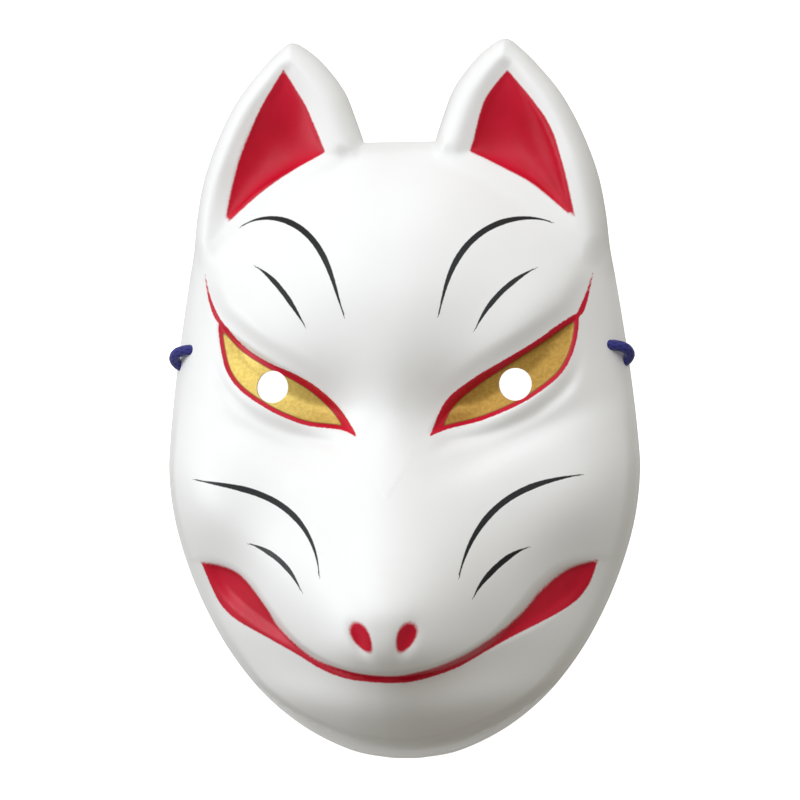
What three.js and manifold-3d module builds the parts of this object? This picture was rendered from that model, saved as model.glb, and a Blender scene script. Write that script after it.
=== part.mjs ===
// A fox face mask: one thin moulded shell with ears, and an elastic cord knotted in its two side holes.
// Millimetres. The mask lies face up on its rim: +Z is up, +Y points to the ears, z = 0 is the surface.

import * as THREE from 'three';
import { ConvexHull } from 'three/addons/math/ConvexHull.js';
import { mergeVertices } from 'three/addons/utils/BufferGeometryUtils.js';
import Module from 'manifold-3d';

// Driving sizes of the mask.
const faceWidth = 158;
const faceHeight = 240;
const faceDepth = 72;
const wall = 1.8;
const eyeHoleDiameter = 10.6;

// Driving sizes of the cord and of what it passes through.
const cordDiameter = 3.6;
const cordHoleClearance = 0.6;
const cordHolePlace = { y: 17, z: 9.2 };
const knotDiameter = 8.6;
const knotLength = 8.8;
const knotInset = 63.8;
const knotWraps = 2;
const knotWaist = 0.62;
const notchHeight = 5;
const notchWidth = 14;
const notchCentre = 11.6;
const fitGap = 0.3;

// The carving is drawn on a pattern sheet and takes its proportions from the face's own size.
const pattern = { width: 158, height: 240, depth: 72 };

// Half of the face, from the chin up the side to where the ear begins.
const sideLine = [
  [0, -120], [6, -119.75], [18.3, -117.3], [33.3, -110], [47, -99], [58.3, -85], [66.8, -70],
  [73, -55], [77.2, -40],
  [79, -25], [78.4, -12], [76.5, 6], [74, 24], [71.5, 40],
];
// The ear's edge, from the temple over the tip to the notch beside the forehead.
const earEdge = [
  [69.8, 50], [68.5, 62], [65.9, 75], [60.7, 89], [54.3, 101], [47.2, 110], [41.2, 116.2], [35.8, 119.8],
  [29.5, 116.5], [23.5, 110.5], [18.2, 103], [15, 95], [12.6, 88],
];
// Where the forehead's dome ends under the ear, and its top between the ears.
const domeTop = [[70.2, 47], [67, 54.5], [60, 62], [49, 70], [37, 77.5], [24, 83.5]];
const foreheadTop = [[12, 86], [0, 86]];
// Where the ear's own form runs out inside the face: beside the notch, then along its foot.
const earCorner = [8, 80];
const earInside = [[10, 84], [8, 78], [9, 68]];
const earFoot = [[9, 68], [24, 56], [45, 40], [60, 30], [72, 35]];
// The red hollow of the ear, corner by corner: up the inner edge, along the foot, up the outer edge.
const pocketInner = [[37, 108.8], [29.6, 97.2], [24, 81.6]];
const pocketFoot = [[24, 81.6], [34, 76.4], [45, 70.2], [57.6, 59.2]];
const pocketOuter = [[57.6, 59.2], [55.6, 70], [52, 83], [46.4, 95], [37, 108.8]];
// The eye: its upper lid from the tail to the inner corner, and its lower lid.
const lidTail = [[65.2, 41.7], [62.6, 33.4]];
const upperLid = [
  [59.4, 27], [54, 22.6], [46.5, 17.3], [38, 12.2], [29, 7.3], [20.6, 0.8], [15.6, -5], [11.3, -12.2],
];
const lowerLid = [
  [59.4, 26.6], [58.9, 20], [56.6, 12], [52, 5.4], [44.2, -0.8], [36.7, -4.6], [27.6, -7.8], [18, -9.9],
  [11.3, -12.2],
];
const eyeHole = [39.8, 4.4];
// The mouth: its upper and its lower edge, from the corner to the middle.
const mouthTop = [
  [66.2, -53.4], [58.4, -54.6], [52.4, -57.2], [46.8, -62.2], [42.4, -67.8], [34, -77.2], [25.6, -82.9],
  [16.6, -86.7], [8, -88.6], [0, -89.2],
];
const mouthFoot = [
  [66.2, -53.4], [63.4, -60.3], [58.9, -66.5], [53, -71.3], [45.6, -75.8], [36.1, -80.4], [27.2, -85.2],
  [18, -89.2], [8.5, -91.2], [0, -91.7],
];

// Rounded forms, each a soft mound or hollow: centre, half widths, turn in degrees and rise.
const forehead = { x: 0, y: 40, rx: 43.5, ry: 34.5, turn: 0, rise: 8.6 };
const brow = { x: 43.5, y: 23, rx: 29, ry: 8.7, turn: 43, rise: 2.7 };
const cheek = { x: 63.5, y: -32, rx: 20, ry: 24, turn: -26.5, rise: 8.4 };
const cheekHollow = { x: 56, y: -60, rx: 11.5, ry: 15.6, turn: -14, rise: -3.1 };
const socket = { x: 19, y: -6, rx: 14.8, ry: 15, turn: 15, rise: -8.6 };
const lidRoll = { x: 38.7, y: -14, rx: 22.7, ry: 4.9, turn: 24, rise: -2.7 };
const noseRoot = { x: 0, y: 11.5, rx: 16.6, ry: 15.4, turn: 0, rise: 0.7 };
const lipSide = { x: 13.6, y: -82, rx: 16.6, ry: 9.8, turn: 8, rise: 4.4 };
const nostril = { x: 7.6, y: -76, rx: 2.5, ry: 5.2, turn: -22, rise: -2.2 };
const chin = { x: 0, y: -101.5, rx: 23, ry: 14.5, turn: 0, rise: 7.3 };
const jaw = { x: 29.5, y: -99.5, rx: 21.5, ry: 9, turn: 10, rise: 3.7 };
// Forms on the middle line that reach further on one side of their centre than on the other.
const muzzle = { y: -67.5, rx: 40, above: 39.3, below: 40.2, rise: 37 };
const nose = { y: -71.3, rx: 23, above: 12, below: 25, rise: 5.1 };
const bridge = { y: -25, rx: 20, above: 38.6, below: 14, rise: 3.3 };
// The dome of the face: its rise, the powers that make its side steep and its front flat, and its foot.
const dome = { rise: 36, share: 2.47, round: 0.73, foot: 0.05 };
const lipStep = { start: 0.95, width: 3.8, kept: 0.75 };
const browRoll = { start: 0.5, width: 8 };
const eyeSink = { deep: 3, start: 0.3, edge: 2, lid: 1, reach: 9 };
const eyeRim = { deep: 0.8, start: 0.2, edge: 1.4 };
const lidCrease = { deep: 1.3, away: 4.6, width: 2.2, outer: 63, outerFade: 8, inner: 10, innerFade: 10 };
const lidRollFade = 4;
const mouthSink = { deep: 2.4, start: 0.6, edge: 2.2, slope: 5 };
const chinEdge = { start: 2, width: 4 };
const chinLip = { from: -93, over: 22, width: 3.3, reach: 118 };
// The ear: its rim, the slope from the rim to the hollow, and the hollow itself.
const earRim = {
  rise: 10, swell: 4, top: 118, tall: 40, edge: 7.5, share: 2.3, round: 0.62, footFade: 20, insideFade: 6,
};
const earSlope = { deep: 2.6, start: 5.5, width: 7.5, edge: 6, from: 50, over: 30 };
const earBowl = { deep: 4.5, reach: 10.5, powers: [1, 0.5, 1] };
const earBlend = { width: 12, over: 3 };
const cornerRadius = 0.5;

// Fineness of the mesh.
const rimStep = 5.2;
const frontStep = 6;
const edgeStep = 3.2;
const stepInset = 1.8;
const edgeRows = [1, 0.985, 0.965, 0.94, 0.905];
const edgeRoom = 0.6;
const frontRoom = 0.62;
const rowPitch = 0.86;
const sway = { share: 0.08, across: 3.1, up: 1.7 };
const bowlRadius = 100;
const under = -4;
const eyeHoleSides = 32;
const cordHoleSides = 20;
const archSides = 96;
const cordSides = 8;
const cordSteps = 78;
// The rolling ball's reaches as shares of its radius, and its points at each.
const ballReaches = [0.5, 0.8, 1];
const ballSides = 10;

const clamp = (t, low = 0, high = 1) => Math.min(high, Math.max(low, t));

function smooth(t) {
  const s = clamp(t);
  return s * s * (3 - 2 * s);
}

function curve(points, steps = 6) {
  const at = points.map(([x, y]) => new THREE.Vector2(x, y));
  return new THREE.SplineCurve(at).getPoints(steps * (points.length - 1)).map((p) => [p.x, p.y]);
}

const mirrored = (line) => line.map(([x, y]) => [-x, y]).reverse();

// A ring that is the same on both sides, from its right half, which runs from the chin to the top.
const bothSides = (half) => half.concat(mirrored(half).slice(1, -1));

const outline = bothSides(curve([...sideLine, ...earEdge]).concat(curve(foreheadTop)));
const domeRing = bothSides(curve([...sideLine, ...domeTop, ...foreheadTop], 8));
const earRing = curve([...earEdge, earCorner, ...earFoot, earEdge[0]]).slice(0, -1);
const earEdgeLine = curve([...sideLine.slice(-3), ...earEdge]);
const earInsideLine = curve(earInside);
const earFootLine = curve(earFoot);
const pocketSides = [pocketInner, pocketFoot, pocketOuter].map((side) => curve(side));
const pocketRing = pocketSides.flatMap((side) => side.slice(0, -1));
const lidLine = curve([...lidTail, ...upperLid]);
const lowerLidLine = curve(lowerLid);
const eyeRing = curve(upperLid).concat(lowerLidLine.slice(1, -1).reverse());
const mouthTopLine = curve(mouthTop);
const mouthFootLine = curve(mouthFoot);
const mouthRing = mouthTopLine.concat(mouthFootLine.slice().reverse()).slice(0, -1);

// The nearest point of a line: how far away it is, and on which side of the line the point lies.
function nearest(x, y, line, closed = false) {
  let best = Infinity;
  let side = 0;
  const count = closed ? line.length : line.length - 1;
  for (let i = 0; i < count; i += 1) {
    const [ax, ay] = line[i];
    const [bx, by] = line[(i + 1) % line.length];
    const dx = bx - ax;
    const dy = by - ay;
    const t = clamp(((x - ax) * dx + (y - ay) * dy) / Math.max(dx * dx + dy * dy, 1e-12));
    const gapX = x - ax - t * dx;
    const gapY = y - ay - t * dy;
    const far = gapX * gapX + gapY * gapY;
    if (far < best) {
      best = far;
      side = Math.sign(dx * (y - ay) - dy * (x - ax));
    }
  }
  return { far: Math.sqrt(best), side };
}

function isInside(x, y, ring) {
  let odd = false;
  ring.forEach(([ax, ay], i) => {
    const [bx, by] = ring[(i + 1) % ring.length];
    if ((ay > y) !== (by > y) && x < ((bx - ax) * (y - ay)) / (by - ay) + ax) {
      odd = !odd;
    }
  });
  return odd;
}

// Distance to a ring, counted positive inside it.
function depthIn(x, y, ring) {
  const { far } = nearest(x, y, ring, true);
  return isInside(x, y, ring) ? far : -far;
}

function mound(x, y, form) {
  const a = THREE.MathUtils.degToRad(form.turn);
  const u = ((x - form.x) * Math.cos(a) + (y - form.y) * Math.sin(a)) / form.rx;
  const v = (-(x - form.x) * Math.sin(a) + (y - form.y) * Math.cos(a)) / form.ry;
  return form.rise * Math.exp(-u * u - v * v);
}

const pair = (x, y, form) => mound(x, y, form) + mound(-x, y, form);

function middleMound(x, y, form) {
  const u = x / form.rx;
  const v = (y - form.y) / (y > form.y ? form.above : form.below);
  return form.rise * Math.exp(-u * u - v * v);
}

// How far from the middle a point is, as a share of the way to the dome's edge.
const domeAngles = domeRing.map(([x, y]) => Math.atan2(y, x));
function domeShare(x, y) {
  const angle = Math.atan2(y, x);
  for (let i = 0; i < domeRing.length; i += 1) {
    const j = (i + 1) % domeRing.length;
    const span = (domeAngles[j] - domeAngles[i] + 4 * Math.PI) % (2 * Math.PI);
    const past = (angle - domeAngles[i] + 4 * Math.PI) % (2 * Math.PI);
    if (past <= span) {
      const near = Math.hypot(...domeRing[i]);
      const far = Math.hypot(...domeRing[j]);
      return Math.hypot(x, y) / (near + ((far - near) * past) / span);
    }
  }
  return 0;
}

// The face without its ears, at a point of the pattern.
function faceAt(x, y) {
  const ax = Math.abs(x);
  const lipShare = (smooth((chinLip.from - y) / chinLip.over) * chinLip.width) / chinLip.reach;
  const share = domeShare(x, y) * (1 + lipShare);
  if (share >= 1) {
    return -1;
  }
  const mouth = nearest(ax, y, mouthTopLine);
  const above = mouth.side < 0 ? mouth.far : -mouth.far;
  const lip = smooth((above + lipStep.start) / lipStep.width);
  const lid = nearest(ax, y, lidLine);
  const over = lid.side < 0 ? lid.far : -lid.far;
  const intoEye = depthIn(ax, y, eyeRing);
  const fromLid = nearest(ax, y, lowerLidLine).far;
  let z = middleMound(x, y, muzzle) * (lipStep.kept + (1 - lipStep.kept) * lip);
  z += middleMound(x, y, nose) * lip + middleMound(x, y, bridge);
  z += mound(x, y, forehead) + mound(x, y, noseRoot);
  z += pair(x, y, cheek) + pair(x, y, cheekHollow) + pair(x, y, socket) + pair(x, y, jaw);
  z += pair(x, y, lipSide) * lip + pair(x, y, brow) * smooth((over + browRoll.start) / browRoll.width);
  const lidShare = smooth((fromLid + eyeSink.lid) / eyeSink.reach);
  z -= eyeSink.deep * smooth((intoEye + eyeSink.start) / eyeSink.edge) * lidShare;
  z -= eyeRim.deep * smooth((intoEye + eyeRim.start) / eyeRim.edge);
  if (intoEye < 0 && over < 0) {
    const { outer, outerFade, inner, innerFade, away, width } = lidCrease;
    const ends = smooth((outer - ax) / outerFade) * smooth((ax - inner) / innerFade);
    z -= lidCrease.deep * ends * Math.exp(-(((fromLid - away) / width) ** 2));
    z += pair(x, y, lidRoll) * smooth(fromLid / lidRollFade);
  }
  const intoMouth = smooth((depthIn(ax, y, mouthRing) + mouthSink.start) / mouthSink.edge);
  z -= mouthSink.deep * intoMouth * smooth(nearest(ax, y, mouthFootLine).far / mouthSink.slope);
  z += pair(x, y, nostril) + mound(x, y, chin) * (1 - smooth((above + chinEdge.start) / chinEdge.width));
  return dome.rise * (1 - share ** dome.share) ** dome.round + z * smooth((1 - share) / dome.foot);
}

// The ear: a rounded rim that slopes into a bowl.
function earAt(x, y) {
  const ax = Math.abs(x);
  if (!isInside(ax, y, earRing)) {
    return -1;
  }
  const edge = nearest(ax, y, earEdgeLine).far;
  const foot = smooth(nearest(ax, y, earFootLine).far / earRim.footFade);
  const inside = smooth(nearest(ax, y, earInsideLine).far / earRim.insideFade);
  const intoPocket = depthIn(ax, y, pocketRing);
  const rise = earRim.rise + earRim.swell * clamp((earRim.top - y) / earRim.tall);
  const round = (1 - clamp(1 - edge / earRim.edge) ** earRim.share) ** earRim.round;
  const slope = smooth((intoPocket + earSlope.start) / earSlope.width) * smooth(edge / earSlope.edge);
  let z = rise * foot * inside * round;
  z -= earSlope.deep * slope * smooth((y - earSlope.from) / earSlope.over);
  if (intoPocket > 0) {
    const shares = pocketSides.map((side) => nearest(ax, y, side).far / earBowl.reach);
    z -= shares.reduce((deep, share, i) => deep * share ** earBowl.powers[i], earBowl.deep);
  }
  return z;
}

// The height of the carving over the rim's plane, in millimetres of the real mask.
function heightAt(x, y) {
  const px = (x * pattern.width) / faceWidth;
  const py = (y * pattern.height) / faceHeight;
  const face = faceAt(px, py);
  const lobe = earAt(px, py);
  const near = smooth(Math.min(face, lobe) / earBlend.over);
  const share = clamp(0.5 + (face - lobe) / earBlend.width);
  const swell = (earBlend.width / 2) * share * (1 - share);
  const top = Math.max(face, lobe);
  const z = top + (lobe * (1 - share) + face * share + swell - top) * near;
  return (z * faceDepth) / pattern.depth;
}

const toFace = (line) => line.map(([x, y]) => [
  (x * faceWidth) / pattern.width,
  (y * faceHeight) / pattern.height,
]);
const faceOutline = toFace(outline);

// The outer surface down to the flat rim, with a soft corner where the two meet.
function outerAt(x, y) {
  const rise = heightAt(x, y) - wall;
  return wall + 0.5 * (rise + Math.hypot(rise, cornerRadius));
}

// The inner surface: the outer one moved inwards by the wall, as a ball of that radius rolls under it.
const ball = [[0, 0]];
for (const reach of ballReaches) {
  for (let k = 0; k < ballSides; k += 1) {
    const a = ((k + reach) * 2 * Math.PI) / ballSides;
    ball.push([reach * Math.cos(a), reach * Math.sin(a)]);
  }
}
function innerAt(x, y) {
  const heights = ball.map(([u, v]) => {
    const [bx, by] = [x + u * wall, y + v * wall];
    const z = isInside(bx, by, faceOutline) ? heightAt(bx, by) : under - wall;
    return z - wall * Math.sqrt(Math.max(0, 1 - u * u - v * v));
  });
  return Math.max(under, Math.min(...heights));
}

// Points at even steps along a ring.
function evenly(ring, step) {
  const at = ring.map(([x, y]) => new THREE.Vector3(x, y, 0));
  const loop = new THREE.CurvePath();
  at.forEach((p, i) => loop.add(new THREE.LineCurve3(p, at[(i + 1) % at.length])));
  const count = Math.round(loop.getLength() / step);
  return loop.getSpacedPoints(count).slice(0, -1).map((p) => [p.x, p.y]);
}

// A ring moved inwards by a distance, without the points that come too near to the old one.
function inset(ring, distance) {
  const turn = Math.sign(THREE.ShapeUtils.area(ring.map(([x, y]) => new THREE.Vector2(x, y))));
  return ring.map(([x, y], i) => {
    const [ax, ay] = ring[(i + ring.length - 1) % ring.length];
    const [bx, by] = ring[(i + 1) % ring.length];
    const along = Math.hypot(bx - ax, by - ay) * turn;
    return [x - ((by - ay) * distance) / along, y + ((bx - ax) * distance) / along];
  }).filter(([x, y]) => depthIn(x, y, ring) > distance * 0.8);
}

// Delaunay triangles of points in the plane: the lower side of their hull on a paraboloid.
function triangles(points, ring) {
  const lifted = points.map(([x, y]) => new THREE.Vector3(x, y, (x * x + y * y) / bowlRadius));
  const index = new Map(lifted.map((p, i) => [p, i]));
  const hull = new ConvexHull().setFromPoints(lifted);
  const found = [];
  for (const face of hull.faces) {
    const corners = [2, 1, 0].map((k) => index.get(face.getEdge(k).head().point));
    const [cx, cy] = [0, 1].map((k) => corners.reduce((sum, i) => sum + points[i][k] / 3, 0));
    if (face.normal.z < 0 && isInside(cx, cy, ring)) {
      found.push(corners);
    }
  }
  return found;
}

const across = ([ax, ay], [bx, by]) => Math.hypot(ax - bx, ay - by);

// The carved edges that the mesh follows: each hollow's brink, then the foot of its slope.
const hollows = [eyeRing, mouthRing, pocketRing].map(toFace);
const feet = hollows.map((ring) => inset(evenly(ring, edgeStep), stepInset));
const carvedRings = [...hollows, ...feet];

// A net over the whole outline: rows that follow the rim, then points along the carving, then a filling.
function net() {
  const ring = evenly(faceOutline, rimStep);
  const points = edgeRows.flatMap((share) => ring.map(([x, y]) => [x * share, y * share]));
  const faces = [];
  const n = ring.length;
  for (let row = 0; row + 1 < edgeRows.length; row += 1) {
    for (let i = 0; i < n; i += 1) {
      const [a, b] = [row * n + i, row * n + ((i + 1) % n)];
      faces.push([a, b, b + n], [a, b + n, a + n]);
    }
  }
  const first = (edgeRows.length - 1) * n;
  const middle = points.slice(first);
  const edge = middle.slice();
  const tryPoint = (p, room) => {
    const clear = isInside(...p, edge) && nearest(...p, edge, true).far > room;
    if (clear && middle.every((q) => across(p, q) > room)) {
      middle.push(p);
    }
  };
  for (const line of carvedRings) {
    for (const [x, y] of evenly(line, edgeStep)) {
      tryPoint([x, y], edgeStep * edgeRoom);
      tryPoint([-x, y], edgeStep * edgeRoom);
    }
  }
  for (let row = 0, y = -faceHeight / 2; y < faceHeight / 2; row += 1, y += frontStep * rowPitch) {
    for (let x = -faceWidth / 2 + ((row % 2) * frontStep) / 2; x < faceWidth / 2; x += frontStep) {
      const moved = sway.share * frontStep * Math.sin(sway.across * x + sway.up * y);
      tryPoint([x + moved, y - moved / 2], frontStep * frontRoom);
    }
  }
  const filled = triangles(middle, edge).map((corners) => corners.map((i) => i + first));
  return { points: points.slice(0, first).concat(middle), faces: faces.concat(filled), rimCount: n };
}

const wasm = await Module();
wasm.setup();

function manifoldOf(geometry) {
  const bare = geometry.clone();
  bare.deleteAttribute('normal');
  bare.deleteAttribute('uv');
  const merged = mergeVertices(bare, 1e-4);
  return new wasm.Manifold(new wasm.Mesh({
    numProp: 3,
    vertProperties: new Float32Array(merged.attributes.position.array),
    triVerts: new Uint32Array(merged.index.array),
  }));
}

function geometryOf(solid) {
  const mesh = solid.getMesh();
  const geometry = new THREE.BufferGeometry();
  geometry.setAttribute('position', new THREE.BufferAttribute(mesh.vertProperties, 3));
  geometry.setIndex(new THREE.BufferAttribute(mesh.triVerts, 1));
  geometry.computeVertexNormals();
  return geometry;
}

// A closed solid with the net's surface on top and a flat floor under it.
function solidUnder({ points, faces, rimCount }, topAt, rimHeight, floor) {
  const count = points.length;
  const tops = points.map(([x, y], i) => (i < rimCount ? rimHeight : topAt(x, y)));
  const places = points.flatMap(([x, y], i) => [x, y, tops[i]]);
  const floors = points.flatMap(([x, y]) => [x, y, floor]);
  const index = faces.flatMap(([a, b, c]) => [a, b, c, a + count, c + count, b + count]);
  for (let i = 0; i < rimCount; i += 1) {
    const j = (i + 1) % rimCount;
    index.push(i, i + count, j + count, i, j + count, j);
  }
  const geometry = new THREE.BufferGeometry();
  geometry.setAttribute('position', new THREE.Float32BufferAttribute([...places, ...floors], 3));
  geometry.setIndex(index);
  return manifoldOf(geometry);
}

function rod(diameter, length, sides) {
  return new THREE.CylinderGeometry(diameter / 2, diameter / 2, length, sides);
}

function maskShell() {
  const face = net();
  let solid = solidUnder(face, outerAt, wall, 0).subtract(solidUnder(face, innerAt, under, under - 1));
  const holes = [];
  for (const side of [-1, 1]) {
    const eye = rod(eyeHoleDiameter, 2 * faceDepth, eyeHoleSides).rotateX(Math.PI / 2);
    const [[x, y]] = toFace([eyeHole]);
    holes.push(eye.translate(side * x, y, 0));
    const cordHole = rod(cordDiameter + cordHoleClearance, faceWidth / 4, cordHoleSides).rotateZ(Math.PI / 2);
    holes.push(cordHole.translate(side * faceWidth * 0.45, cordHolePlace.y, cordHolePlace.z));
  }
  // The rim is raised in a low arch where the cord passes under it.
  const radius = (notchHeight ** 2 + (notchWidth / 2) ** 2) / (2 * notchHeight);
  const arch = rod(2 * radius, 2 * faceWidth, archSides).rotateZ(Math.PI / 2);
  holes.push(arch.translate(0, notchCentre, notchHeight - radius));
  holes.forEach((tool) => {
    solid = solid.subtract(manifoldOf(tool));
  });
  return geometryOf(solid);
}

const white = new THREE.MeshStandardMaterial({ color: 0xf0efea, roughness: 0.42, metalness: 0 });
const blue = new THREE.MeshStandardMaterial({ color: 0x262a86, roughness: 0.85, metalness: 0 });

const mask = new THREE.Group();

const shell = new THREE.Mesh(maskShell(), white);
shell.name = 'mask_shell';
mask.add(shell);

// The cord's route on the right, from the knot out of the hole, round the rim and in under it.
const cordOut = [
  [64.4, 17, 9.2], [68.2, 17, 9.2], [71.4, 17, 9.2], [74.7, 16.1, 8.1], [76.1, 14.1, 5.5], [74.7, 12, 2.9],
  [71.4, 11.1, 1.85], [67.6, 10.4, 1.85], [63, 8.6, 1.85], [57, 4, 1.85], [52.4, -7, 1.85], [50, -20.5, 1.85],
  [47, -34.5, 1.85], [40.5, -48.5, 1.85], [29.5, -60.5, 1.85], [15.5, -68, 1.85],
];
const cordRoute = [...cordOut, [0, -70.4, 1.85], ...cordOut.map(([x, y, z]) => [-x, y, z]).reverse()];

function cordGeometry() {
  const points = cordRoute.map((p) => new THREE.Vector3(...p));
  const path = new THREE.CatmullRomCurve3(points, false, 'centripetal');
  const section = new THREE.Shape();
  for (let k = 0; k < cordSides; k += 1) {
    const a = ((k + 0.5) * 2 * Math.PI) / cordSides;
    const place = [(Math.cos(a) * cordDiameter) / 2, (Math.sin(a) * cordDiameter) / 2];
    if (k === 0) {
      section.moveTo(...place);
    } else {
      section.lineTo(...place);
    }
  }
  return new THREE.ExtrudeGeometry(section, { steps: cordSteps, bevelEnabled: false, extrudePath: path });
}

const cord = new THREE.Mesh(cordGeometry(), blue);
cord.name = 'elastic_cord';
mask.add(cord);

// A stopper knot: two tight wraps side by side round the cord's end, inside the shell.
function knotGeometry() {
  const profile = [new THREE.Vector2(0, 0)];
  const steps = 5;
  for (let w = 0; w < knotWraps; w += 1) {
    for (let k = w === 0 ? 0 : 1; k <= steps; k += 1) {
      const a = (k / steps) * Math.PI;
      const radius = (knotDiameter / 2) * (knotWaist + (1 - knotWaist) * Math.sin(a));
      profile.push(new THREE.Vector2(radius, (knotLength / knotWraps) * (w + (1 - Math.cos(a)) / 2)));
    }
  }
  profile.push(new THREE.Vector2(0, knotLength));
  return new THREE.LatheGeometry(profile, 12);
}

for (const [name, side] of [['cord_knot_left', -1], ['cord_knot_right', 1]]) {
  const knot = new THREE.Mesh(knotGeometry(), blue);
  knot.name = name;
  knot.position.set(side * (knotInset + fitGap), cordHolePlace.y, cordHolePlace.z);
  knot.rotation.z = (side * Math.PI) / 2;
  mask.add(knot);
}

export default mask;
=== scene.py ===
"""Dresses the fox face mask: the finely carved and painted shell, its braided cord and the two knots."""
import math

import bmesh
import bpy
import numpy as np
from mathutils import Matrix, Vector
from mathutils.geometry import delaunay_2d_cdt


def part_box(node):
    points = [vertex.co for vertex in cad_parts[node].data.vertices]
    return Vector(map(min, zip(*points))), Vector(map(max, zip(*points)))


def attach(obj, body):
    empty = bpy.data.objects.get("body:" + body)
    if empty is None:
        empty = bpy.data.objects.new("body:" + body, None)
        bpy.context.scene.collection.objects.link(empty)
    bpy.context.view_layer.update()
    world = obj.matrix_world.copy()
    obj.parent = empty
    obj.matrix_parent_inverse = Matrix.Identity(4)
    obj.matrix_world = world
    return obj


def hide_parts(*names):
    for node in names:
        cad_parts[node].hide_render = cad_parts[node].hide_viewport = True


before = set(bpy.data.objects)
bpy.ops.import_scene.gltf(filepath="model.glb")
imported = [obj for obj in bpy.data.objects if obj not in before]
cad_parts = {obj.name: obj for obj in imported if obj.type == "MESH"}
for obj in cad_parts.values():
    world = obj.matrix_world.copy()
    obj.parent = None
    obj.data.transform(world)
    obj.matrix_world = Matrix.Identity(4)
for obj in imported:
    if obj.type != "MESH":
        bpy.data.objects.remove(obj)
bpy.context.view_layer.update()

MM = 0.001

# The view, in metres and degrees.
VIEW_DISTANCE = 1.1
VIEW_YAW = 6.0
VIEW_ROLL = 0.6
FRAME_WIDTH = 0.2674
SENSOR = 36.0
# How far the view's middle lies from the mask's, as shares of the frame.
SHIFT = (-2.5 / 800, -1.0 / 800)

# The face's own sizes come from the frame; the carving is drawn on a sheet of this size, in millimetres.
PATTERN = (158.0, 240.0, 72.0)
LOW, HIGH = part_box("mask_shell")
SCALE = np.array([(HIGH.x - LOW.x) / PATTERN[0], (HIGH.y - LOW.y) / PATTERN[1], MM])
WALL = 1.8
EYE_HOLE_RADIUS = 5.3

# Half of the outline, from the chin up the side, over the ear and to the notch beside the forehead.
SIDE_LINE = [
    (0, -120), (6, -119.75), (18.3, -117.3), (33.3, -110), (47, -99), (58.3, -85), (66.8, -70),
    (73, -55), (77.2, -40), (79, -25), (78.4, -12), (76.5, 6), (74, 24), (71.5, 40),
]
EAR_EDGE = [
    (69.8, 50), (68.5, 62), (65.9, 75), (60.7, 89), (54.3, 101), (47.2, 110), (41.2, 116.2), (35.8, 119.8),
    (29.5, 116.5), (23.5, 110.5), (18.2, 103), (15, 95), (12.6, 88),
]
# Where the forehead's dome ends under the ear, and its top between the ears.
DOME_TOP = [(70.2, 47), (67, 54.5), (60, 62), (49, 70), (37, 77.5), (24, 83.5)]
FOREHEAD_TOP = [(12, 86), (0, 86)]
# Where the ear's own form runs out inside the face: beside the notch, then along its foot.
EAR_CORNER = [(8, 80)]
EAR_INSIDE = [(10, 84), (8, 78), (9, 68)]
EAR_FOOT = [(9, 68), (24, 56), (45, 40), (60, 30), (72, 35)]
# The carved lines on the right half.
POCKET_INNER = [(37, 108.8), (29.6, 97.2), (24, 81.6)]
POCKET_FOOT = [(24, 81.6), (34, 76.4), (45, 70.2), (57.6, 59.2)]
POCKET_OUTER = [(57.6, 59.2), (55.6, 70), (52, 83), (46.4, 95), (37, 108.8)]
LID_TAIL = [(65.2, 41.7), (62.6, 33.4)]
UPPER_LID = [
    (59.4, 27), (54, 22.6), (46.5, 17.3), (38, 12.2), (29, 7.3), (20.6, 0.8), (15.6, -5), (11.3, -12.2),
]
LOWER_LID = [
    (59.4, 26.6), (58.9, 20), (56.6, 12), (52, 5.4), (44.2, -0.8), (36.7, -4.6), (27.6, -7.8), (18, -9.9),
    (11.3, -12.2),
]
EYE_HOLE = (39.8, 4.4)
MOUTH_TOP = [
    (66.2, -53.4), (58.4, -54.6), (52.4, -57.2), (46.8, -62.2), (42.4, -67.8), (34, -77.2), (25.6, -82.9),
    (16.6, -86.7), (8, -88.6), (0, -89.2),
]
MOUTH_FOOT = [
    (66.2, -53.4), (63.4, -60.3), (58.9, -66.5), (53, -71.3), (45.6, -75.8), (36.1, -80.4), (27.2, -85.2),
    (18, -89.2), (8.5, -91.2), (0, -91.7),
]

# Rounded forms, each a soft mound or hollow: centre x and y, half widths, turn in degrees and rise.
FOREHEAD = (0, 40, 43.5, 34.5, 0, 8.6)
BROW = (43.5, 23, 29, 8.7, 43, 2.7)
CHEEK = (63.5, -32, 20, 24, -26.5, 8.4)
CHEEK_HOLLOW = (56, -60, 11.5, 15.6, -14, -3.1)
SOCKET = (19, -6, 14.8, 15, 15, -8.6)
LID_ROLL = (38.7, -14, 22.7, 4.9, 24, -2.7)
NOSE_ROOT = (0, 11.5, 16.6, 15.4, 0, 0.7)
LIP_SIDE = (13.6, -82, 16.6, 9.8, 8, 4.4)
NOSTRIL = (7.6, -76, 2.5, 5.2, -22, -2.2)
CHIN = (0, -101.5, 23, 14.5, 0, 7.3)
JAW = (29.5, -99.5, 21.5, 9, 10, 3.7)
# Forms on the middle line: centre y, half width, reach above, reach below and rise.
MUZZLE = (-67.5, 40, 39.3, 40.2, 37)
NOSE = (-71.3, 23, 12, 25, 5.1)
BRIDGE = (-25, 20, 38.6, 14, 3.3)
# The dome: its rise, the powers that make its side steep and its front flat, and its foot.
DOME_RISE, DOME_SHARE, DOME_ROUND, DOME_FOOT = 36, 2.47, 0.73, 0.05
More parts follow.
